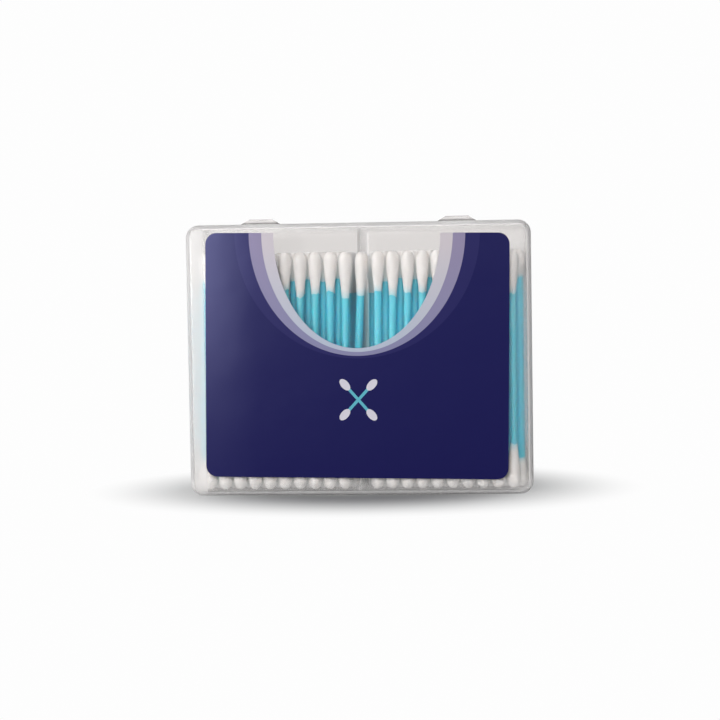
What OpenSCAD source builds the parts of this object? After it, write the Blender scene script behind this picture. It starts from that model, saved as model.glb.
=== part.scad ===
// Cotton swab box: a clear moulded tray and lid joined along the top edge, with a printed film label on the
// lid and two compartments of double-ended cotton swabs. Millimetres.
// The box stands on its closing side, as on a shelf: X runs along the hinge, Y from the lid at the front to
// the back of the tray, Z up to the hinge. The origin is the middle of the base.
// The tray, the lid and the label are drawn as they lie in the mould, with the depth of the box along Z, and
// stand() turns them upright.

/* [Swabs] */
// Length of a swab over both cotton ends
swab_length = 73.5; // [60:0.5:90]
// Widest diameter of a cotton end
bud_d = 4.2; // [3.6:0.1:5.4]
// Length of a cotton end along the stick
bud_length = 13; // [10:0.5:18]
// Distance from the tip of a cotton end to its widest place
bud_belly = 3.4; // [2.8:0.1:5]
// Diameter of a cotton end where it runs out on the stick
bud_foot_d = 2.8; // [2.6:0.1:3.4]
// Diameter of the stick
stick_d = 2.4; // [1.8:0.1:2.5]
// Cotton left between the end of the stick and the tip
bud_cap = 1.6; // [1:0.1:2.4]

/* [Filling] */
// Swabs in a row of one compartment
swabs_per_row = 10; // [6:1:14]
// Rows from the back of the tray to the lid
row_count = 10; // [6:1:12]
// Clearance between neighbours in a row
swab_gap = 0.47; // [0.3:0.01:1]
// Clearance between swabs of neighbouring rows
row_gap = 0.12; // [0.1:0.01:0.4]
// Play of the crossing swab beside the divider
crossing_play = 0.15; // [0.1:0.05:0.8]
// How far the tops of the swabs lie to the right of their feet
top_lean = 1.15; // [0:0.05:1.2]
// Play of the whole filling against the walls
filling_play = 0.3; // [0.25:0.05:0.8]
// Clearance under the swabs, which the lid needs to swing past them
base_play = 0.35; // [0.3:0.05:0.8]
// Free height over the swabs
headspace = 7.45; // [5:0.05:15]

/* [Box] */
// Wall thickness at the seam
wall = 1.2; // [1.1:0.05:1.8]
// Outer corner radius, seen from the front
corner_r = 4; // [4:0.1:4.5]
// Depth of the lid, from the seam to its front face
lid_depth = 8; // [7:0.25:14]
// Outer edge radius round the front face of the lid
lid_edge_r = 1.4; // [0.6:0.1:1.9]
// Outer edge radius round the back of the tray
tray_edge_r = 1.8; // [0.8:0.1:1.9]
// Draft of the inner faces, in degrees
draft = 0.3; // [0.1:0.1:0.5]
// Thickness of the divider between the compartments
divider_t = 0.9; // [0.7:0.1:1.6]

/* [Rim] */
// Height of the tray's lip inside the lid
lip_height = 2; // [1.4:0.1:2.6]
// Thickness of the lip
lip_t = 0.5; // [0.4:0.05:0.6]
// Clearance between the lip and the rim of the lid
lip_play = 0.2; // [0.15:0.01:0.3]
// Length of each of the two closing beads on the lip
bead_length = 14; // [8:1:20]
// Diameter of a closing bead
bead_d = 0.5; // [0.4:0.05:0.6]
// Clearance between a closing bead and the rim it passes
bead_play = 0.05; // [0.03:0.01:0.1]
// Width of the thumb recess under the rim of the lid
thumb_width = 18; // [12:1:26]
// Depth of the thumb recess
thumb_depth = 0.5; // [0.3:0.1:0.6]
// Height of the thumb recess below the seam
thumb_height = 9; // [6:0.5:14]

/* [Hinge] */
// Distance between the middles of the two hinge lugs
lug_spacing = 61; // [40:1:76]
// Width of a lug where it leaves the wall
lug_base = 12.3; // [10:0.1:18]
// Width of a lug at its outer edge
lug_top = 9.2; // [6:0.1:9.8]
// Height of a lug over the wall, where the film hinge lies
lug_height = 1.4; // [1.2:0.1:2.4]
// Depth of a lug beside the seam
lug_depth = 2.6; // [2:0.1:4]
// Radius of a lug's two outer corners
lug_corner_r = 0.9; // [0.4:0.1:1]
// Fall of a lug's outer edge away from the seam, which lets the lid lie flat when open
lug_fall = 0.15; // [0.1:0.05:0.3]
// Diameter of the folded film along the hinge line
film_d = 0.6; // [0.4:0.05:0.8]
// Running clearance between the folded film and the lid's lugs
film_play = 0.05; // [0.03:0.01:0.1]

/* [Label] */
// Width of the label
label_w = 93.3; // [80:0.1:98]
// Height of the label
label_h = 75.3; // [64:0.1:77]
// Thickness of the label film
label_t = 0.1; // [0.08:0.01:0.2]
// Corner radius of the label
label_r = 3.5; // [1:0.1:6]
// Sideways offset of the label from the middle of the lid
label_offset = -0.68; // [-2:0.02:2]
// Height of the label's middle over the base
label_height = 42.9; // [41:0.1:43.5]
// Turn of the label on the lid in degrees, counterclockwise from the front
label_turn = -0.93; // [-1:0.01:1]
// Half the width of the window in the label
window_half_w = 25.6; // [18:0.1:34]
// Depth of the window below the label's upper edge
window_depth = 35.3; // [20:0.1:50]

/* [Hidden] */
$fn = 48;
// What a cutting shape reaches past the face that it opens
cut = 1;
// Gap between cotton and stick, filled by glue on the real swab
glue_gap = 0.03;

bud_r = bud_d / 2;
stick_r = stick_d / 2;
foot_r = bud_foot_d / 2;

// Pitch in a row and from row to row, with the rows nested in each other's gaps
pitch = bud_d + swab_gap;
row_pitch = sqrt(pow(bud_d + row_gap, 2) - pow(pitch / 2, 2));
// One swab crosses over from a free place of the pattern beside the divider to the middle of the front row
crossing_x = divider_t / 2 + crossing_play + bud_r;
first_x = crossing_x + pitch / 2;
last_x = first_x + (swabs_per_row - 0.5) * pitch;

box_w = 2 * (last_x + bud_r + filling_play + wall);
box_d = (row_count - 1) * row_pitch + bud_d + 2 * filling_play + 2 * wall;
box_h = base_play + swab_length + headspace + 2 * wall;
tray_depth = box_d - lid_depth;
back_y = (box_d + label_t) / 2;
swab_base = wall + base_play;
// The wall at the seam is shared by the lip inside, the play and the rim outside
rim_t = wall - lip_t - lip_play;

SIDES = ["left", "right"];
ROWS = [for (row = [1:row_count]) row];
function side_sign(side) = side == "left" ? -1 : 1;
function row_depth(row) = wall + filling_play + bud_r + (row - 1) * row_pitch;
// Every second row, counted from the front one, is moved by half a pitch: outwards, and on the right outwards
// and inwards by turns
function turns_inwards(side, row) = side == "right" && (row_count - row) % 4 == 3;
function row_shift(side, row) = (turns_inwards(side, row) ? -1 : (row_count - row) % 2) * pitch / 2;
// The rearmost row on the left is one short, for the swab that crosses over
function swabs_in(side, row) = side == "left" && row == 1 ? swabs_per_row - 1 : swabs_per_row;
// The swabs on the left lean alike, those on the right less and less towards the side wall
function lean_at(x) = x < 0 ? top_lean : top_lean * (last_x - x) / (last_x - first_x);
function sticks_name(side, row) = str("swab_sticks_", side, "_", row);
function buds_name(side, row) = str("cotton_buds_", side, "_", row);

// Turns a piece that is drawn lying on its back upright onto its lower long side
module stand() {
    translate([0, back_y, 0]) rotate([90, 0, 0]) children();
}

// A rectangle with round corners, w by h and centred
module round_rectangle(w, h, r) {
    square([w, h - 2 * r], center = true);
    square([w - 2 * r, h], center = true);
    for (x = [-1, 1], y = [-1, 1]) translate([x * (w / 2 - r), y * (h / 2 - r)]) circle(r);
}

// Section of a pan from a corner's centre line outwards: flat foot, round edge, and a wall that leans out
// to reach out_x at the top
module pan_section(out_x, low, high, edge_r, lean) {
    edge_x = out_x - (high - low - edge_r) * tan(lean) - edge_r / cos(lean);
    centre = [edge_x, low + edge_r];
    translate(centre) circle(edge_r);
    tangent_point = centre + edge_r * [cos(lean), -sin(lean)];
    polygon([[0, low], [edge_x, low], tangent_point, [out_x, high], [0, high]]);
}

// Carries a section round the outline of the box; its x runs outwards from the corner centres, its y is the
// depth
module round_the_box() {
    reach_x = box_w / 2 - corner_r;
    reach_y = box_h / 2 - corner_r;
    translate([0, box_h / 2, 0]) for (quarter = [0:3]) {
        odd = quarter % 2;
        side_reach = odd ? reach_y : reach_x;
        side_length = 2 * (odd ? reach_x : reach_y);
        rotate([0, 0, 90 * quarter]) {
            translate([side_reach, side_length / 2, 0]) rotate_extrude(angle = 90) children();
            translate([side_reach, side_length / 2, 0])
                rotate([90, 0, 0]) linear_extrude(side_length) children();
        }
    }
}

// The flat middle of a pan, inside the corner centres
module middle_plate(low, high) {
    translate([corner_r - box_w / 2, corner_r, low])
        cube([box_w - 2 * corner_r, box_h - 2 * corner_r, high - low]);
}

// Outline of a hinge lug over the wall: straight sides that run tangent into the round outer corners
module lug_outline(root) {
    corner = [lug_top / 2 - lug_corner_r, lug_height - lug_corner_r];
    foot = [lug_base / 2, 0];
    tangent = atan2(foot[1] - corner[1], foot[0] - corner[0]) + acos(lug_corner_r / norm(foot - corner));
    turn = [for (step = [0:0.25:1]) tangent + (90 - tangent) * step];
    right_side = concat([[foot[0], -root], foot], [for (a = turn) corner + lug_corner_r * [cos(a), sin(a)]]);
    polygon(concat(right_side, [for (i = [len(right_side) - 1:-1:0]) [-right_side[i][0], right_side[i][1]]]));
}

// A hinge lug on the front side of the seam, thinner towards its outer edge so that it leaves the mould
module hinge_lug(root) {
    intersection() {
        linear_extrude(lug_depth) lug_outline(root);
        translate([-lug_base / 2, 0, 0]) rotate([90, 0, 90]) linear_extrude(lug_base)
            polygon([
                [-root, 0], [lug_height, 0], [lug_height - lug_fall, lug_depth / 2],
                [0, lug_depth], [-root, lug_depth]
            ]);
    }
}

// Places something at both lugs, on the edge where the seam meets the top wall
module at_both_lugs() {
    for (side = [-1, 1]) translate([side * lug_spacing / 2, box_h, tray_depth]) children();
}

// The film between a tray lug and a lid lug, folded to a thin bead along the hinge line
module hinge_film(r, length) {
    translate([-length / 2, lug_height, 0]) rotate([0, 90, 0]) cylinder(r = r, h = length);
}

// Two low beads on the closing side of the lip
module closing_beads() {
    depth = rim_t + bead_play + bead_d / 2;
    for (side = [-1, 1])
        translate([side * box_w / 4 - bead_length / 2, depth, tray_depth + lip_height / 2])
            rotate([0, 90, 0]) cylinder(d = bead_d, h = bead_length);
}

// A shallow scoop in the closing side, which bares the edge of the lid for a thumb nail
module thumb_recess() {
    r = (pow(thumb_width / 2, 2) + pow(thumb_depth, 2)) / (2 * thumb_depth);
    translate([0, thumb_depth - r, tray_depth - thumb_height]) cylinder(r = r, h = thumb_height, $fn = 180);
}

// The wall between the compartments, up to the seam
module divider() {
    translate([-divider_t / 2, wall / 2, wall / 2]) cube([divider_t, box_h - wall, tray_depth - wall / 2]);
}

module tray() {
    color([0.92, 0.93, 0.94, 0.4]) stand() difference() {
        union() {
            difference() {
                union() {
                    round_the_box() pan_section(corner_r, 0, tray_depth, tray_edge_r, 0);
                    round_the_box() translate([0, tray_depth - cut])
                        square([corner_r - wall + lip_t, lip_height + cut]);
                }
                round_the_box() pan_section(
                    corner_r - wall, wall, tray_depth + lip_height + cut, max(tray_edge_r - wall, 0.4), draft
                );
            }
            middle_plate(0, wall);
            divider();
            closing_beads();
            at_both_lugs() mirror([0, 0, 1]) hinge_lug(wall / 2);
            at_both_lugs() hinge_film(film_d / 2, lug_top - 2 * lug_corner_r);
        }
        thumb_recess();
    }
}

module lid() {
    color([0.94, 0.95, 0.96, 0.4]) stand() difference() {
        union() {
            difference() {
                round_the_box() translate([0, box_d]) mirror([0, 1])
                    pan_section(corner_r, 0, lid_depth, lid_edge_r, 0);
                round_the_box() translate([0, box_d]) mirror([0, 1]) pan_section(
                    corner_r - wall, wall, lid_depth + cut, max(lid_edge_r - wall, 0.4), draft
                );
                round_the_box() translate([0, tray_depth - cut])
                    square([corner_r - rim_t, lip_height + lip_play + cut]);
            }
            middle_plate(box_d - wall, box_d);
            at_both_lugs() hinge_lug(rim_t / 2);
        }
        at_both_lugs() hinge_film(film_d / 2 + film_play, lug_base);
    }
}

module front_label() {
    color([0.14, 0.14, 0.36]) stand()
        translate([label_offset, label_height, box_d]) rotate([0, 0, label_turn]) linear_extrude(label_t)
            difference() {
                round_rectangle(label_w, label_h, label_r);
                translate([0, label_h / 2]) scale([window_half_w, window_depth]) circle(1, $fn = 96);
            }
}

// Section of a cotton end, its tip at the origin and its wider half outwards: an oval nose up to the belly,
// then a taper that runs out on the stick, round the space for the stick
module bud_section() {
    nose = [for (a = [0:22.5:90]) [bud_r * sin(a), bud_belly * (1 - cos(a))]];
    taper = [for (u = [0.25:0.25:1])
        [foot_r + (bud_r - foot_r) * (1 + cos(180 * u)) / 2, bud_belly + u * (bud_length - bud_belly)]];
    hollow = [[stick_r + glue_gap, bud_length], [stick_r + glue_gap, bud_cap], [0, bud_cap]];
    polygon(concat(nose, taper, hollow));
}

module swab_buds() {
    color([0.96, 0.96, 0.95]) {
        rotate_extrude($fn = 32) bud_section();
        translate([0, 0, swab_length]) mirror([0, 0, 1]) rotate_extrude($fn = 32) bud_section();
    }
}

module swab_stick() {
    color([0.3, 0.72, 0.82]) translate([0, 0, bud_cap + glue_gap])
        cylinder(d = stick_d, h = swab_length - 2 * (bud_cap + glue_gap), $fn = 32);
}

// Stands a swab with its lower belly over a place and its upper belly moved from there by a run in X and Y
module lean_over(place, run) {
    tilt = run / (swab_length - 2 * bud_belly);
    rise = sqrt(1 - tilt * tilt);
    translate([place[0], place[1], swab_base + bud_belly])
        rotate([0, acos(rise), atan2(tilt[1], tilt[0])]) translate([0, 0, -bud_belly]) children();
}

// Stands something at every place of a row
module along_row(side, row) {
    for (i = [0:swabs_in(side, row) - 1]) {
        x = side_sign(side) * (first_x + row_shift(side, row) + i * pitch);
        lean_over([x, back_y - row_depth(row)], [lean_at(x), 0]) children();
    }
}

// The swab in front of the divider, from a free place in the second row at its foot to the front row at its
// top
module cross_over() {
    foot = [-crossing_x, back_y - row_depth(row_count - 1)];
    lean_over(foot, [crossing_x + top_lean, -row_pitch]) children();
}

tray();
lid();
front_label();
cross_over() swab_stick();  // leaning_swab_stick
cross_over() swab_buds();  // leaning_swab_buds
for (side = SIDES, row = ROWS) {
    along_row(side, row) swab_stick();
    along_row(side, row) swab_buds();
}
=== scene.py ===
"""A clear hinged box of cotton swabs, standing on its closing side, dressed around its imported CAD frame."""

import math

import bpy
import numpy as np
from mathutils import Matrix, Vector


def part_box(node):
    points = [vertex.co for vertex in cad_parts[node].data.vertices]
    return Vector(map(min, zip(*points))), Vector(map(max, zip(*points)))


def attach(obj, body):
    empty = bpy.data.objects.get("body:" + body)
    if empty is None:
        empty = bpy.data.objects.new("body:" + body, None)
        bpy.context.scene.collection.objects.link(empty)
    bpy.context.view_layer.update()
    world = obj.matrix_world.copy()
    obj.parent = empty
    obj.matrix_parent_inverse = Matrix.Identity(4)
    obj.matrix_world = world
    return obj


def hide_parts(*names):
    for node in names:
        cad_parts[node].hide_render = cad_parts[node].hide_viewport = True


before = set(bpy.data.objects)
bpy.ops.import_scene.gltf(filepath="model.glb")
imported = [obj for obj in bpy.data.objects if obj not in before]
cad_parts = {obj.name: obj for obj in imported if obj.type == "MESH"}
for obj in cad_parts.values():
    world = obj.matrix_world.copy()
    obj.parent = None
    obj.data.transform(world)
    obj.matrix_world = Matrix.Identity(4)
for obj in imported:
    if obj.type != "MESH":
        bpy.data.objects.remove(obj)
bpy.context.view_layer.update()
scene = bpy.context.scene
scene.view_settings.view_transform = "Standard"


# Camera
# A short tele lens half a metre in front of the lid, a little to the right and a little above its middle,
# and tipped by one degree: that gives the slant and the slight narrowing of the outline in the photograph.
box_height = 0.0837
camera_distance = 0.520
camera_azimuth, camera_elevation, camera_roll = (math.radians(a) for a in (4.55, 2.88, -0.94))
aim_right, aim_down = 0.00040, 0.00024
look_at = Vector((aim_right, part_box("lid")[0].y, box_height / 2 - aim_down))

back = Vector((
    math.sin(camera_azimuth) * math.cos(camera_elevation),
    -math.cos(camera_azimuth) * math.cos(camera_elevation),
    math.sin(camera_elevation),
))
right = Vector((math.cos(camera_azimuth), math.sin(camera_azimuth), 0))
up = back.cross(right)
tipped_right = right * math.cos(camera_roll) + up * math.sin(camera_roll)
tipped_up = up * math.cos(camera_roll) - right * math.sin(camera_roll)

camera_data = bpy.data.cameras.new("camera")
camera_data.lens, camera_data.sensor_width = 84.8, 36
camera_data.clip_start, camera_data.clip_end = 0.01, 20
camera = bpy.data.objects.new("camera", camera_data)
turn = Matrix((tipped_right, tipped_up, back)).transposed().to_4x4()
camera.matrix_world = Matrix.Translation(look_at + back * camera_distance) @ turn
scene.collection.objects.link(camera)
scene.camera = camera


# Backdrop, table and lamps
# A white painted table that runs into a white backdrop, so that only the shadow round the foot of the box
# tells where it stands. What is seen directly or through the box is white; what lights the box is dimmer.
def linear(hex_colour):
    """sRGB hex to linear RGBA: c / 12.92 up to 0.04045, above it ((c + 0.055) / 1.055) to the power 2.4."""
    c = np.array([int(hex_colour[i:i + 2], 16) for i in (1, 3, 5)]) / 255
    return (*np.where(c <= 0.04045, c / 12.92, ((c + 0.055) / 1.055) ** 2.4), 1.0)


def node(tree, kind, inputs=(), **settings):
    """Adds one node: settings are its own properties, inputs pairs of a socket and its value or source."""
    made = tree.nodes.new("ShaderNode" + kind)
    for name, value in settings.items():
        setattr(made, name, value)
    for key, value in dict(inputs).items():
        if isinstance(value, bpy.types.NodeSocket):
            tree.links.new(value, made.inputs[key])
        else:
            made.inputs[key].default_value = value
    return made


def blank(name):
    """A new material with nothing in it, and its node tree."""
    material = bpy.data.materials.new(name)
    material.use_nodes = True
    material.node_tree.nodes.clear()
    return material, material.node_tree


def seen_directly(tree, path):
    """1 for rays that show the background as such: from the camera or through the box, not softly bounced."""
    straight = node(tree, "Math", {0: path.outputs["Is Camera Ray"], 1: path.outputs["Is Transmission Ray"]},
                    operation="MAXIMUM")
    first = node(tree, "Math", {0: path.outputs["Diffuse Depth"], 1: 0.5}, operation="LESS_THAN")
    return node(tree, "Math", {0: straight.outputs[0], 1: first.outputs[0]}, operation="MULTIPLY").outputs[0]


ambient, mirrored, white = 0.21, 0.06, 0.985
world = bpy.data.worlds.new("white_backdrop")
world.use_nodes = True
world.node_tree.nodes.clear()
sky = world.node_tree
sky_path = node(sky, "LightPath")
level = node(sky, "MapRange", {"Value": sky_path.outputs["Is Glossy Ray"], "To Min": ambient,
                               "To Max": mirrored})
strength = node(sky, "MapRange", {"Value": seen_directly(sky, sky_path), "To Min": level.outputs[0],
                                  "To Max": white})
surround = node(sky, "Background", {"Color": linear("#FFFFFF"), "Strength": strength.outputs[0]})
node(sky, "OutputWorld", {"Surface": surround.outputs[0]})
scene.world = world

table_reach = 6.0
# The table shows its own paint, with the shadow, up to the first distance from the middle of the box, and is
# as white as the backdrop from the second on. Sideways the distance counts by eight tenths.
shaded_near, shaded_far, shade_shares = 0.025, 0.072, (0.8, 1.0, 1.0)


def painted_table():
    """Matt table paint, darker to glossy rays; its white share is the smooth step of |(0.8 x, y, z)| from
    near to far, for rays that see it directly."""
    material, tree = blank("painted_white_table")
    path = node(tree, "LightPath")
    paint = node(tree, "Mix", {0: path.outputs["Is Glossy Ray"], 6: linear("#AEAEAE"), 7: linear("#606060")},
                 data_type="RGBA")
    lit = node(tree, "BsdfDiffuse", {"Color": paint.outputs[2]})
    glow = node(tree, "Emission", {"Color": linear("#FFFFFF"), "Strength": white})
    place = node(tree, "TexCoord").outputs["Object"]
    drawn_in = node(tree, "VectorMath", {0: place, 1: shade_shares}, operation="MULTIPLY")
    from_middle = node(tree, "VectorMath", {0: drawn_in.outputs[0]}, operation="LENGTH")
    far = node(tree, "MapRange", {"Value": from_middle.outputs["Value"], "From Min": shaded_near,
                                  "From Max": shaded_far}, interpolation_type="SMOOTHSTEP")
    white_share = node(tree, "Math", {0: far.outputs[0], 1: seen_directly(tree, path)}, operation="MULTIPLY")
    faded = node(tree, "MixShader", {0: white_share.outputs[0], 1: lit.outputs[0], 2: glow.outputs[0]})
    node(tree, "OutputMaterial", {"Surface": faded.outputs[0]})
    return material


table_mesh = bpy.data.meshes.new("table")
table_corners = [(x * table_reach, y * table_reach, 0) for x, y in ((-1, -1), (1, -1), (1, 1), (-1, 1))]
table_mesh.from_pydata(table_corners, [], [(0, 1, 2, 3)])
table_mesh.materials.append(painted_table())
table = bpy.data.objects.new("table", table_mesh)
scene.collection.objects.link(table)


lamp_aim = Vector((0, 0, 0.04))


def softbox(name, place, width, height, power):
    """A rectangular area lamp at place, turned so that it faces the middle of the box."""
    data = bpy.data.lights.new(name, "AREA")
    data.shape, data.size, data.size_y, data.energy = "RECTANGLE", width, height, power
    lamp = bpy.data.objects.new(name, data)
    facing = (lamp_aim - Vector(place)).to_track_quat("-Z", "Y")
    lamp.matrix_world = Matrix.Translation(place) @ facing.to_matrix().to_4x4()
    scene.collection.objects.link(lamp)
    return lamp


softbox("window_light_left", (-0.63, -0.90, 0.20), 0.50, 0.35, 2.8)
softbox("low_window_left", (-0.30, -0.82, 0.13), 0.16, 0.21, 0.90)
softbox("front_light", (0.06, -1.02, 0.43), 0.60, 0.25, 4.4)
softbox("side_light_left", (-0.95, -0.15, 0.13), 0.40, 0.25, 4.2)
softbox("overhead_light", (-0.25, 0.42, 0.85), 0.90, 0.40, 1.6)
# The rear light fills the back and the depth of the box, and is kept out of the gloss and of the clear rim.
rear_light = softbox("rear_light", (0.72, 0.86, 0.52), 0.60, 0.40, 7.5)
rear_light.visible_glossy = rear_light.visible_transmission = False


# Tray and lid
# Both pans are one clear polypropylene moulding, 1.2 mm thick, with a film hinge between the lugs on top.
# The mould is polished where the label leaves its window, fine-sparked round it, and matt at the divider.
window_middle, window_half_width, window_half_height = (-0.0007, 0, 0.0802), 0.029, 0.039
polished, sparked, smooth_foot, frosted_edge, matt_divider = 0.06, 0.27, 0.12, 0.50, 0.50
# The finish changes round the window over these shares of its half sizes, above its top edge three times as
# quickly, and at the foot over these heights.
window_blend, top_quickness, foot_blend = (-0.02, 0.10), 3.0, (0.0060, 0.0180)
# Past the inner half, measured from the middle, a point is in a wall. A wall's share rises over 0.6 mm.
box_middle, inner_half, wall_blend = (0, 0.00005, box_height / 2), (0.0514, 0.0184, 0.0402), 0.0006
# The divider's middle, half sizes and blend, and how far from its middle height the sticks' colour is
# painted on it, as a painted reflection of their light.
divider_middle, divider_half, divider_blend = (0, 0.004, 0.042), (0.0006, 0.0163, 0.0405), 0.0004
stick_reflection_heights = (0.0215, 0.0195)
# How clear the plastic is where it is thick or hazed, and the stretch over which it gets so: at edges, in
# the lugs, in the foot, and in the left margin of the lid's front, which catches the window's light.
clear_edge, clear_lug, clear_foot, clear_margin = 0.55, 0.70, 0.80, 0.58
lug_heights, foot_heights = (0.0836, 0.0842), (0.0030, 0.0060)
margin_across, margin_depths = (-0.0482, -0.0468), (-0.0185, -0.0160)
shrinkage_waves = 70.0  # to the metre, one in 14 mm


def wall_finish(tree, place, height):
    """Roughness of a wall. With r = |((x - cx) / a, (z - cz) / b)| from the middle of the window's top
    edge, it is polished where r < 1 and z < cz, fine-sparked beyond, and smoother again down at the foot.
    It stays below 0.275, where a denoised picture still keeps the outlines of what stands behind a wall."""
    from_window = node(tree, "VectorMath", {0: place, 1: window_middle}, operation="SUBTRACT")
    over_half = (1 / window_half_width, 0, 1 / window_half_height)
    shares = node(tree, "VectorMath", {0: from_window.outputs[0], 1: over_half}, operation="MULTIPLY")
    reach = node(tree, "VectorMath", {0: shares.outputs[0]}, operation="LENGTH")
    over = node(tree, "SeparateXYZ", {"Vector": shares.outputs[0]})
    beyond = node(tree, "Math", {0: reach.outputs["Value"], 1: 1.0}, operation="SUBTRACT")
    above = node(tree, "Math", {0: over.outputs["Z"], 1: top_quickness}, operation="MULTIPLY")
    outside = node(tree, "Math", {0: beyond.outputs[0], 1: above.outputs[0]}, operation="MAXIMUM")
    polish = node(tree, "MapRange", {"Value": outside.outputs[0], "From Min": window_blend[0],
                                     "From Max": window_blend[1], "To Min": polished, "To Max": sparked},
                  interpolation_type="SMOOTHSTEP")
    low_down = node(tree, "MapRange", {"Value": height, "From Min": foot_blend[0], "From Max": foot_blend[1],
                                       "To Min": smooth_foot, "To Max": sparked},
                    interpolation_type="SMOOTHSTEP")
    return node(tree, "Math", {0: polish.outputs[0], 1: low_down.outputs[0]}, operation="MINIMUM").outputs[0]


def edge_clarity(tree, place):
    """1 in a plain wall and less where a point is in two walls at once, that is, where two of |x|, |y| and
    |z - middle| pass the inner half."""
    from_middle = node(tree, "VectorMath", {0: place, 1: box_middle}, operation="SUBTRACT")
    sideways = node(tree, "VectorMath", {0: from_middle.outputs[0]}, operation="ABSOLUTE")
    past = node(tree, "VectorMath", {0: sideways.outputs[0], 1: inner_half}, operation="SUBTRACT")
    steep = node(tree, "VectorMath", {0: past.outputs[0], "Scale": 1 / wall_blend}, operation="SCALE")
    raised = node(tree, "VectorMath", {0: steep.outputs[0], 1: (0, 0, 0)}, operation="MAXIMUM")
    in_walls = node(tree, "VectorMath", {0: raised.outputs[0], 1: (1, 1, 1)}, operation="MINIMUM")
    walls_met = node(tree, "VectorMath", {0: in_walls.outputs[0], 1: (1, 1, 1)}, operation="DOT_PRODUCT")
    in_edge = node(tree, "MapRange", {"Value": walls_met.outputs["Value"], "From Min": 1.0, "From Max": 2.0,
                                      "To Min": 1.0, "To Max": clear_edge}, interpolation_type="SMOOTHSTEP")
    return in_edge.outputs[0]


def divider_shares(tree, place):
    """1 in the divider and 0 beyond the blend round it, by the length of max(|p - middle| - half, 0), and
    the same for the part of it that stands beside the sticks, by |z - middle|, where their colour is painted
    on as a painted reflection of their light."""
    from_divider = node(tree, "VectorMath", {0: place, 1: divider_middle}, operation="SUBTRACT")
    off_middle = node(tree, "VectorMath", {0: from_divider.outputs[0]}, operation="ABSOLUTE")
    out_of_it = node(tree, "VectorMath", {0: off_middle.outputs[0], 1: divider_half}, operation="SUBTRACT")
    outer = node(tree, "VectorMath", {0: out_of_it.outputs[0], 1: (0, 0, 0)}, operation="MAXIMUM")
    way_out = node(tree, "VectorMath", {0: outer.outputs[0]}, operation="LENGTH")
    in_divider = node(tree, "MapRange", {"Value": way_out.outputs["Value"], "From Min": divider_blend,
                                         "From Max": 0.0})
    off_level = node(tree, "SeparateXYZ", {"Vector": off_middle.outputs[0]}).outputs["Z"]
    beside = node(tree, "MapRange", {"Value": off_level, "From Min": stick_reflection_heights[0],
                                     "From Max": stick_reflection_heights[1]})
    painted_reflection_share = node(tree, "Math", {0: in_divider.outputs[0], 1: beside.outputs[0]}, operation="MINIMUM")
    return in_divider.outputs[0], painted_reflection_share.outputs[0]


def wall_clarity(tree, at, in_edge):
    """Share of the light that passes unscattered: the least of edge, lug, foot and left front margin."""
    in_lug = node(tree, "MapRange", {"Value": at.outputs["Z"], "From Min": lug_heights[0],
                                     "From Max": lug_heights[1], "To Min": 1.0, "To Max": clear_lug})
    in_foot = node(tree, "MapRange", {"Value": at.outputs["Z"], "From Min": foot_heights[0],
                                      "From Max": foot_heights[1], "To Min": clear_foot, "To Max": 1.0},
                   interpolation_type="SMOOTHSTEP")
    in_left = node(tree, "MapRange", {"Value": at.outputs["X"], "From Min": margin_across[0],
                                      "From Max": margin_across[1], "To Min": clear_margin, "To Max": 1.0},
                   interpolation_type="SMOOTHSTEP")
    behind = node(tree, "MapRange", {"Value": at.outputs["Y"], "From Min": margin_depths[0],
                                     "From Max": margin_depths[1]})
    in_margin = node(tree, "Math", {0: in_left.outputs[0], 1: behind.outputs[0]}, operation="MAXIMUM")
    clearest = node(tree, "Math", {0: in_edge, 1: in_lug.outputs[0]}, operation="MINIMUM")
    lower = node(tree, "Math", {0: clearest.outputs[0], 1: in_foot.outputs[0]}, operation="MINIMUM")
    return node(tree, "Math", {0: lower.outputs[0], 1: in_margin.outputs[0]}, operation="MINIMUM").outputs[0]


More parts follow.
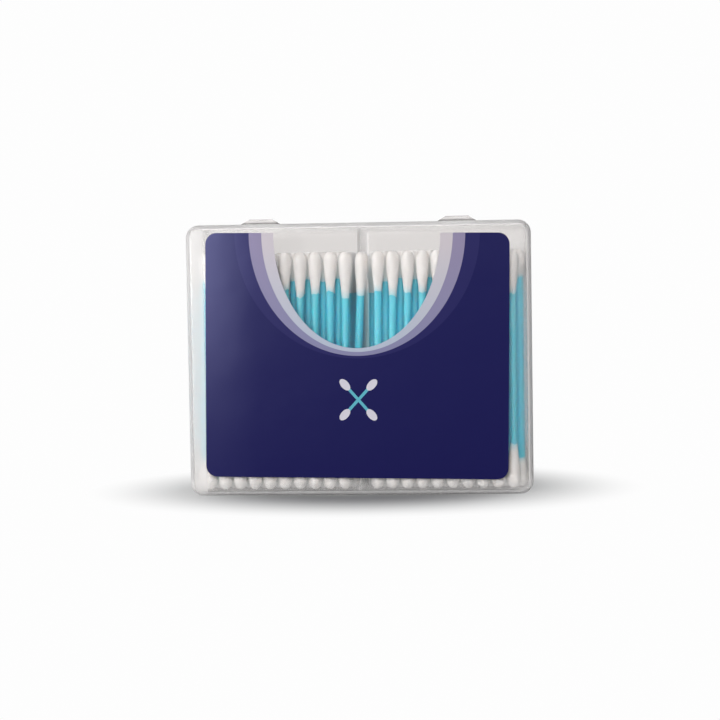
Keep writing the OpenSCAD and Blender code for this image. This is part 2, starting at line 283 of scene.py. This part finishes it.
def clear_polypropylene():
    """Injection-moulded PP: clear with a soft blur, milky and frosted along its edges, in slow waves of
    shrinkage. Beside the sticks the divider has their colour painted on, a painted reflection of their light.
    Lamps shine through it all, as thin walls let them."""
    material, tree = blank("clear_polypropylene_moulded")
    place = node(tree, "TexCoord").outputs["Object"]
    at = node(tree, "SeparateXYZ", {"Vector": place})
    in_edge = edge_clarity(tree, place)
    in_divider, painted_reflection_share = divider_shares(tree, place)

    frosted = node(tree, "MapRange", {"Value": in_edge, "From Min": 1.0, "From Max": clear_edge,
                                      "To Min": 0.0, "To Max": frosted_edge})
    finish = node(tree, "Math", {0: wall_finish(tree, place, at.outputs["Z"]), 1: frosted.outputs[0]},
                  operation="MAXIMUM")
    matt = node(tree, "MapRange", {"Value": in_divider, "To Min": finish.outputs[0], "To Max": matt_divider})

    milky = node(tree, "MapRange", {"Value": in_edge, "From Min": 1.0, "From Max": clear_edge})
    shade = node(tree, "Mix", {0: milky.outputs[0], 6: linear("#EFEDEC"), 7: linear("#E6E4E4")},
                 data_type="RGBA")
    pale = node(tree, "Mix", {0: in_divider, 6: shade.outputs[2], 7: linear("#FBF9F8")}, data_type="RGBA")
    # Beside the sticks the divider gets their colour painted on: a painted reflection of their light.
    painted_stick_reflection = node(tree, "Mix", {0: painted_reflection_share, 6: pale.outputs[2], 7: linear("#7CC4D2")}, data_type="RGBA")

    waves = node(tree, "TexNoise", {"Vector": place, "Scale": shrinkage_waves, "Detail": 2.0})
    ripple = node(tree, "Bump", {"Height": waves.outputs["Fac"], "Strength": 0.25, "Distance": 0.0004})
    body = node(tree, "BsdfPrincipled", {
        "Base Color": painted_stick_reflection.outputs[2], "Roughness": matt.outputs[0], "IOR": 1.49,
        "Transmission Weight": wall_clarity(tree, at, in_edge), "Normal": ripple.outputs[0],
    })
    lamp_path = node(tree, "LightPath")
    lets_through = node(tree, "BsdfTransparent", {"Color": linear("#F0F1F2")})
    glazed = node(tree, "MixShader", {0: lamp_path.outputs["Is Shadow Ray"], 1: body.outputs[0],
                                      2: lets_through.outputs[0]})
    node(tree, "OutputMaterial", {"Surface": glazed.outputs[0]})
    return material


def dress(name, material):
    """Gives a CAD node its material."""
    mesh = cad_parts[name].data
    mesh.materials.clear()
    mesh.materials.append(material)


polypropylene = clear_polypropylene()
for pan in ("tray", "lid"):
    dress(pan, polypropylene)


# Front label
# A self-adhesive polypropylene film with a U window cut out of it, printed navy in offset inks, with three
# paler bands that follow the window. The gloss varnish over the ink gives a soft haze towards the light.
label_centre = (-0.00068, 0, 0.0429)
label_turn = math.radians(-0.93)
bands = (
    # outer edge of each band in mm from the label's middle: centre x, centre z, half width, half height,
    # then its ink at the top of the label and at the foot of the window
    (0.00, 37.7, 37.6, 38.5, "#25235A", "#25235A"),
    (0.00, 37.7, 33.2, 37.7, "#9289A6", "#8887A8"),
    (0.06, 38.0, 29.36, 36.8, "#CCC4C9", "#B4BDCD"),
)
# Heights over the label's middle between which a band's ink turns from its upper to its lower colour.
ink_heights = (0.034, 0.004)
# Towards its left edge the label bows back by half a millimetre with the lid, which gathers the haze there.
edge_bow, bow_across = 0.0005, (-0.030, -0.0466)
# The film swells over its glue by a tenth of a millimetre, 60 times to the metre, one swell in 17 mm.
swell_height, swells = 0.0001, 60.0
# Below the window stands a plain emblem of two crossed swabs: its middle, the turn of a swab from upright,
# half the width of a stick, how far out the middle of a head is, and half the length and width of a head.
emblem_centre, emblem_turn = (0.0006, 0, -0.0135), math.radians(42)
emblem_stick, emblem_reach, emblem_head = 0.00045, 0.0062, (0.0021, 0.0012)


def over_bands(tree, upright, level, ink):
    """The ink with the bands over it: inside a band, ((x - cx) / a)^2 + ((z - cz) / b)^2 is below 1."""
    sunk = node(tree, "MapRange", {"Value": level, "From Min": ink_heights[0], "From Max": ink_heights[1]})
    for cx, cz, half_width, half_height, above, below in bands:
        moved = node(tree, "VectorMath", {0: upright, 1: (cx / 1000, 0, cz / 1000)}, operation="SUBTRACT")
        over_half = (1000 / half_width, 0, 1000 / half_height)
        scaled = node(tree, "VectorMath", {0: moved.outputs[0], 1: over_half}, operation="MULTIPLY")
        reach = node(tree, "VectorMath", {0: scaled.outputs[0]}, operation="LENGTH")
        inside = node(tree, "Math", {0: reach.outputs["Value"], 1: 1.0}, operation="LESS_THAN")
        colour = node(tree, "Mix", {0: sunk.outputs[0], 6: linear(above), 7: linear(below)}, data_type="RGBA")
        layer = node(tree, "Mix", {0: inside.outputs[0], 6: ink, 7: colour.outputs[2]}, data_type="RGBA")
        ink = layer.outputs[2]
    return ink


def over_emblem(tree, upright, ink):
    """The ink with the emblem over it, drawn in one quarter, from |x| and |z|, and so standing in all four:
    a stick where |across| < half its width, a head where (along / l)^2 + (across / w)^2 < 1."""
    from_emblem = node(tree, "VectorMath", {0: upright, 1: emblem_centre}, operation="SUBTRACT")
    quarter = node(tree, "VectorMath", {0: from_emblem.outputs[0]}, operation="ABSOLUTE").outputs[0]
    along = node(tree, "VectorMath", {0: quarter, 1: (math.sin(emblem_turn), 0, math.cos(emblem_turn))},
                 operation="DOT_PRODUCT").outputs["Value"]
    across = node(tree, "VectorMath", {0: quarter, 1: (math.cos(emblem_turn), 0, -math.sin(emblem_turn))},
                  operation="DOT_PRODUCT").outputs["Value"]
    aside = node(tree, "Math", {0: across}, operation="ABSOLUTE").outputs[0]
    narrow = node(tree, "Math", {0: aside, 1: emblem_stick}, operation="LESS_THAN")
    short = node(tree, "Math", {0: along, 1: emblem_reach}, operation="LESS_THAN")
    on_stick = node(tree, "Math", {0: narrow.outputs[0], 1: short.outputs[0]}, operation="MULTIPLY")
    from_head = node(tree, "Math", {0: along, 1: emblem_reach}, operation="SUBTRACT")
    long_share = node(tree, "Math", {0: from_head.outputs[0], 1: emblem_head[0]}, operation="DIVIDE")
    wide_share = node(tree, "Math", {0: across, 1: emblem_head[1]}, operation="DIVIDE")
    spot = node(tree, "CombineXYZ", {0: long_share.outputs[0], 1: wide_share.outputs[0]})
    head_reach = node(tree, "VectorMath", {0: spot.outputs[0]}, operation="LENGTH")
    on_head = node(tree, "Math", {0: head_reach.outputs["Value"], 1: 1.0}, operation="LESS_THAN")
    with_sticks = node(tree, "Mix", {0: on_stick.outputs[0], 6: ink, 7: linear("#5FB4C6")}, data_type="RGBA")
    return node(tree, "Mix", {0: on_head.outputs[0], 6: with_sticks.outputs[2], 7: linear("#D6D2DC")},
                data_type="RGBA").outputs[2]


def printed_film():
    """Offset-printed film under gloss varnish: flat inks with sharp edges and a bluish sheen. Its surface
    lies back by the bow times the square of the way to the left edge, plus the swell."""
    material, tree = blank("offset_printed_film_varnished")
    place = node(tree, "TexCoord").outputs["Object"]
    at_label = node(tree, "VectorMath", {0: place, 1: label_centre}, operation="SUBTRACT")
    upright = node(tree, "VectorRotate", {"Vector": at_label.outputs[0], "Angle": label_turn},
                   rotation_type="Y_AXIS").outputs[0]
    sides = node(tree, "SeparateXYZ", {"Vector": upright})
    ink = over_bands(tree, upright, sides.outputs["Z"], linear("#171650"))
    print_colour = over_emblem(tree, upright, ink)

    swell = node(tree, "TexNoise", {"Vector": place, "Scale": swells, "Detail": 2.0})
    bowed = node(tree, "MapRange", {"Value": sides.outputs["X"], "From Min": bow_across[0],
                                    "From Max": bow_across[1]})
    fall = node(tree, "Math", {0: bowed.outputs[0], 1: bowed.outputs[0]}, operation="MULTIPLY")
    height = node(tree, "Math", {0: fall.outputs[0], 1: -edge_bow}, operation="MULTIPLY")
    surface = node(tree, "Math", {0: swell.outputs["Fac"], 1: swell_height, 2: height.outputs[0]},
                   operation="MULTIPLY_ADD")
    laid = node(tree, "Bump", {"Height": surface.outputs[0], "Strength": 1.0, "Distance": 1.0})
    varnish = node(tree, "BsdfPrincipled", {"Base Color": print_colour, "Roughness": 0.24, "IOR": 1.5,
                                            "Specular Tint": linear("#C9CBFF"), "Normal": laid.outputs[0]})
    node(tree, "OutputMaterial", {"Surface": varnish.outputs[0]})
    return material


dress("front_label", printed_film())


# Swab sticks
# Extruded polypropylene tube, 2.4 mm across, dyed turquoise in the mass and a little translucent. Extrusion
# leaves fine draw lines along it and a gloss that runs as one bright stripe down its lit side.
# Real draw lines are too fine to show: these are 900 to the metre, about two on the width of a stick.
draw_lines, lines_along = 900.0, 0.02


def turquoise_stick():
    """Extruded, mass-dyed PP: glossy, with draw lines that vary across the axis and hardly along it. The
    thin tube lets lamps shine through with its colour, which lights the depth of the box."""
    material, tree = blank("turquoise_polypropylene_extruded")
    place = node(tree, "TexCoord").outputs["Object"]
    drawn = node(tree, "Mapping", {"Vector": place, "Scale": (1.0, 1.0, lines_along)})
    lines = node(tree, "TexNoise", {"Vector": drawn.outputs[0], "Scale": draw_lines, "Detail": 2.0})
    dye = node(tree, "Mix", {0: lines.outputs["Fac"], 6: linear("#43C0D7"), 7: linear("#68D0E3")},
               data_type="RGBA")
    scratch = node(tree, "Bump", {"Height": lines.outputs["Fac"], "Strength": 0.3, "Distance": 0.00004})
    body = node(tree, "BsdfPrincipled", {
        "Base Color": dye.outputs[2], "Roughness": 0.30, "IOR": 1.49, "Subsurface Weight": 1.0,
        "Subsurface Radius": (0.25, 1.0, 1.2), "Subsurface Scale": 0.003, "Normal": scratch.outputs[0],
    })
    lamp_path = node(tree, "LightPath")
    lets_through = node(tree, "BsdfTransparent", {"Color": linear("#B4E8EE")})
    tube = node(tree, "MixShader", {0: lamp_path.outputs["Is Shadow Ray"], 1: body.outputs[0],
                                    2: lets_through.outputs[0]})
    node(tree, "OutputMaterial", {"Surface": tube.outputs[0]})
    return material


stick_plastic = turquoise_stick()
for name in sorted(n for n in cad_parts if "stick" in n):
    dress(name, stick_plastic)


# Cotton ends
# Carded cotton spun onto the turning stick and pressed to an oval head. It winds round at a flat angle, is
# dry, white and softly uneven, and runs out on the stick, which shows through its last turns.

# An end's greatest radius and its way from the tip. The nose is round at a power of 1 and blunter below it.
belly_radius, belly_way, nose_power = 0.00211, 0.0031, 0.85
# The radius where the cotton runs out on the stick, and how far its tip stands past the stick's end.
foot_radius, stick_inset = 0.00117, 0.00163
# Length of an end, and of one in the ninth row, whose sticks show higher up between the heads before it.
end_length, ninth_row_length = 0.0146, 0.0098
# How unevenly the cotton runs out: the spread from end to end, and waves round an end by share and count.
foot_scatter, foot_waves = 0.055, ((0.02, 1), (0.012, 3))
# Lumps: share of the radius, waves round an end, and radians to the metre along it. Their middle share
# comes off, and four fifths of them fade towards the foot.
lump_waves, lump_middle, lumps_faded = ((0.012, 3, 900), (0.010, 5, -1300), (0.007, 2, 2100)), 0.006, 0.8
around, nose_rings, taper_rings = 28, 6, 16
rings = nose_rings + taper_rings
nose_angle = np.arange(1, nose_rings + 1)[:, None] / nose_rings * math.pi / 2
taper = np.arange(1, taper_rings + 1)[:, None] / taper_rings
# 38 windings over an end are one in 0.4 mm. The fibres push them up to 0.9 of a turn astray, and a winding
# stands out by 0.12 of the fuzz.
windings, fibres_astray, strand_share = 38.0, 0.9, 0.12
# Fibres are 0.7 mm coarse here, as real ones are too fine to show, and three times as flat; tufts are 2.4 mm.
fibres_per_metre, fibre_flatness, tufts_per_metre = 1400.0, 3.0, 420.0
# From this share of an end on, the stick shows through, in the end by this share.
thin_from, thin_share = 0.70, 0.7


def wound_cotton():
    """Bleached cotton, carded and wound: rough and dry, with a soft sheen, sin(2 pi (38 v + u)) for its
    windings and the stick's colour towards v = 1. Lamps shine through the thin wad a little."""
    material, tree = blank("bleached_cotton_wound")
    place = node(tree, "TexCoord").outputs["Object"]
    flattened = node(tree, "Mapping", {"Vector": place, "Scale": (1.0, 1.0, fibre_flatness)})
    fibres = node(tree, "TexNoise", {"Vector": flattened.outputs[0], "Scale": fibres_per_metre, "Detail": 4.0,
                                     "Roughness": 0.65})
    tufts = node(tree, "TexNoise", {"Vector": place, "Scale": tufts_per_metre, "Detail": 2.0})
    winding = node(tree, "SeparateXYZ", {"Vector": node(tree, "UVMap", uv_map="winding").outputs["UV"]})
    turns = node(tree, "Math", {0: winding.outputs["Y"], 1: windings, 2: winding.outputs["X"]},
                 operation="MULTIPLY_ADD")
    loose = node(tree, "Math", {0: fibres.outputs["Fac"], 1: fibres_astray, 2: turns.outputs[0]},
                 operation="MULTIPLY_ADD")
    angle = node(tree, "Math", {0: loose.outputs[0], 1: math.tau}, operation="MULTIPLY")
    strands = node(tree, "Math", {0: angle.outputs[0]}, operation="SINE")
    lumps = node(tree, "Math", {0: fibres.outputs["Fac"], 1: tufts.outputs["Fac"]}, operation="ADD")
    height = node(tree, "Math", {0: strands.outputs[0], 1: strand_share, 2: lumps.outputs[0]},
                  operation="MULTIPLY_ADD")
    fuzz = node(tree, "Bump", {"Height": height.outputs[0], "Strength": 0.5, "Distance": 0.00012})
    bleached = node(tree, "Mix", {0: tufts.outputs["Fac"], 6: linear("#E3E0DD"), 7: linear("#EDEAE8")},
                    data_type="RGBA")
    thin = node(tree, "MapRange", {"Value": winding.outputs["Y"], "From Min": thin_from, "From Max": 1.0,
                                   "To Min": 0.0, "To Max": thin_share}, interpolation_type="SMOOTHSTEP")
    shown = node(tree, "Mix", {0: thin.outputs[0], 6: bleached.outputs[2], 7: linear("#7CCFDF")},
                 data_type="RGBA")
    body = node(tree, "BsdfPrincipled", {
        "Base Color": shown.outputs[2], "Roughness": 0.95, "Specular IOR Level": 0.2,
        "Subsurface Weight": 0.6, "Subsurface Radius": (1.0, 0.95, 0.9), "Subsurface Scale": 0.0014,
        "Sheen Weight": 0.35, "Sheen Roughness": 0.5, "Normal": fuzz.outputs[0],
    })
    lamp_path = node(tree, "LightPath")
    lets_through = node(tree, "BsdfTransparent", {"Color": linear("#D8D5D2")})
    wad = node(tree, "MixShader", {0: lamp_path.outputs["Is Shadow Ray"], 1: body.outputs[0],
                                   2: lets_through.outputs[0]})
    node(tree, "OutputMaterial", {"Surface": wad.outputs[0]})
    return material


ring_depth, stick_spacing = 0.0006, 0.001


def stick_ends(name):
    """Middles of both ends of each stick of a node, from its lowest and its highest points within the depth
    of a ring, split into sticks where x jumps by more than the least spacing."""
    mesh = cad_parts[name].data
    points = np.empty(3 * len(mesh.vertices))
    mesh.vertices.foreach_get("co", points)
    points = points.reshape(-1, 3)
    ends = []
    for level in (points[:, 2].min(), points[:, 2].max()):
        ring = points[np.abs(points[:, 2] - level) < ring_depth]
        ring = ring[np.argsort(ring[:, 0])]
        per_stick = np.split(ring, np.flatnonzero(np.diff(ring[:, 0]) > stick_spacing) + 1)
        ends.append([(r.min(axis=0) + r.max(axis=0)) / 2 for r in per_stick])
    return np.array(ends)


def end_axes(stick_node):
    """Tips of the cotton on both ends of a node's sticks, the directions from them along the sticks, and
    two directions square to each. A tip lies on the stick's axis, one inset past its end."""
    feet, heads = stick_ends(stick_node)
    axis = (heads - feet) / np.linalg.norm(heads - feet, axis=1)[:, None]
    tips = np.concatenate([feet - axis * stick_inset, heads + axis * stick_inset])
    inwards = np.concatenate([axis, -axis])
    side = np.cross(inwards, (0, 1, 0))
    side /= np.linalg.norm(side, axis=1)[:, None]
    return tips, inwards, side, np.cross(inwards, side)


def end_points(stick_node, length, seed):
    """Points of each end, ring by ring from the tip, then its two poles. With s the way from the tip, b that
    of the belly and n that of the foot, the radius is R sin(a) ^ nose power at s = b (1 - cos(a)), and then
    f + (R - f) (1 + cos(pi u)) / 2 at s = b + u (n - b), both times 1 + the sum of c sin(k turn + m s +
    phase) over the lumps. n varies from end to end and round it."""
    rng = np.random.default_rng(seed)
    tips, inwards, side, other = end_axes(stick_node)
    count = len(tips)
    turn = np.arange(around) * math.tau / around
    phase = rng.uniform(0, math.tau, (len(foot_waves) + len(lump_waves), count, 1, 1))
    uneven = rng.normal(0, foot_scatter, (count, 1, 1))
    uneven = uneven + sum(c * np.sin(k * turn + phase[i]) for i, (c, k) in enumerate(foot_waves))
    foot = length * (1 + uneven)

    nose_way = np.broadcast_to(belly_way * (1 - np.cos(nose_angle)), (count, nose_rings, around))
    way = np.concatenate([nose_way, belly_way + taper * (foot - belly_way)], axis=1)
    nose = belly_radius * np.sin(nose_angle) ** nose_power
    spread = belly_radius - foot_radius
    radius = np.concatenate([nose, foot_radius + spread * (1 + np.cos(math.pi * taper)) / 2])
    loose = np.concatenate([np.sin(nose_angle), 1 - lumps_faded * taper])
    lumps = sum(c * np.sin(k * turn + m * way + phase[i])
                for i, (c, k, m) in enumerate(lump_waves, start=len(foot_waves)))
    radius = radius * (1 + (lumps - lump_middle) * loose)
    radial = (side[:, None, None] * np.cos(turn)[None, None, :, None]
              + other[:, None, None] * np.sin(turn)[None, None, :, None])
    grid = tips[:, None, None] + inwards[:, None, None] * way[..., None] + radial * radius[..., None]
    poles = np.stack([tips, tips + inwards * foot.mean(axis=2)], axis=1)
    return np.concatenate([grid.reshape(count, -1, 3), poles], axis=1)


def end_faces(count):
    """Faces of all ends, turned outwards: the quads between their rings, then the fans round their tips,
    then those round their feet. An end's points start at its number times the points of one end."""
    ring, j = np.meshgrid(np.arange(rings - 1), np.arange(around), indexing="ij")
    k = (j + 1) % around
    near, beyond = ring * around, (ring + 1) * around
    quads = np.stack([near + j, near + k, beyond + k, beyond + j], axis=-1)
    j, k = j[0], k[0]
    last, tip_pole, foot_pole = (rings - 1) * around, rings * around, rings * around + 1
    tip_fan = np.stack([np.full(around, tip_pole), k, j], axis=-1)
    foot_fan = np.stack([np.full(around, foot_pole), last + j, last + k], axis=-1)
    first = np.arange(count)[:, None, None] * (rings * around + 2)
    faces = []
    for part in (quads.reshape(-1, 4), tip_fan, foot_fan):
        faces += (first + part).reshape(-1, part.shape[1]).tolist()
    return faces


def corner_uv(*corners):
    """The u and v of a face's corners, each spread over all the faces of its kind."""
    return np.stack([np.stack(np.broadcast_arrays(u, v), axis=-1) for u, v in corners], axis=-2)


def end_uv(count):
    """UV of every face's corners, in the order of the faces: u is the turn round the axis, and v the way
    from the tip over the length of an end, which is taken as its usual one."""
    way = np.concatenate([belly_way * (1 - np.cos(nose_angle)), belly_way + taper * (end_length - belly_way)])
    v = way[:, 0] / end_length
    low, high = v[:-1, None], v[1:, None]
    left, right = np.arange(around) / around, np.arange(1, around + 1) / around
    quads = corner_uv((left, low), (right, low), (right, high), (left, high))
    tip_fan = corner_uv((left, 0), (right, v[0]), (left, v[0]))
    foot_fan = corner_uv((left, 1), (left, v[-1]), (right, v[-1]))
    return np.concatenate([np.tile(part.reshape(-1), count) for part in (quads, tip_fan, foot_fan)])


def wind_ends(name, stick_node, bud_node, length, seed):
    """Cotton on both ends of a node's sticks, as one piece in place of the node's plain ovals."""
    points = end_points(stick_node, length, seed)
    faces = end_faces(len(points))
    mesh = bpy.data.meshes.new(name)
    mesh.from_pydata(points.reshape(-1, 3).tolist(), [], faces)
    mesh.uv_layers.new(name="winding").data.foreach_set("uv", end_uv(len(points)))
    mesh.polygons.foreach_set("use_smooth", np.ones(len(faces), dtype=bool))
    mesh.materials.append(cotton)
    piece = bpy.data.objects.new(name, mesh)
    scene.collection.objects.link(piece)
    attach(piece, "tray_and_swabs")
    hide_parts(bud_node)


# The ends of the two front rows, the rearmost row and the leaning swab are wound one by one. Between those
# rows the frame's plain ovals stay.
wound_rows = (1, 9, 10)
cotton = wound_cotton()
for name in sorted(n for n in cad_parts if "buds" in n):
    dress(name, cotton)
wound = [(f"{half}_{row}", f"swab_sticks_{half}_{row}", f"cotton_buds_{half}_{row}")
         for half in ("left", "right") for row in wound_rows]
wound.append(("leaning", "leaning_swab_stick", "leaning_swab_buds"))
for seed, (which, stick_node, bud_node) in enumerate(wound):
    length = ninth_row_length if which.endswith("_9") else end_length
    wind_ends("wound_cotton_" + which, stick_node, bud_node, length, seed)
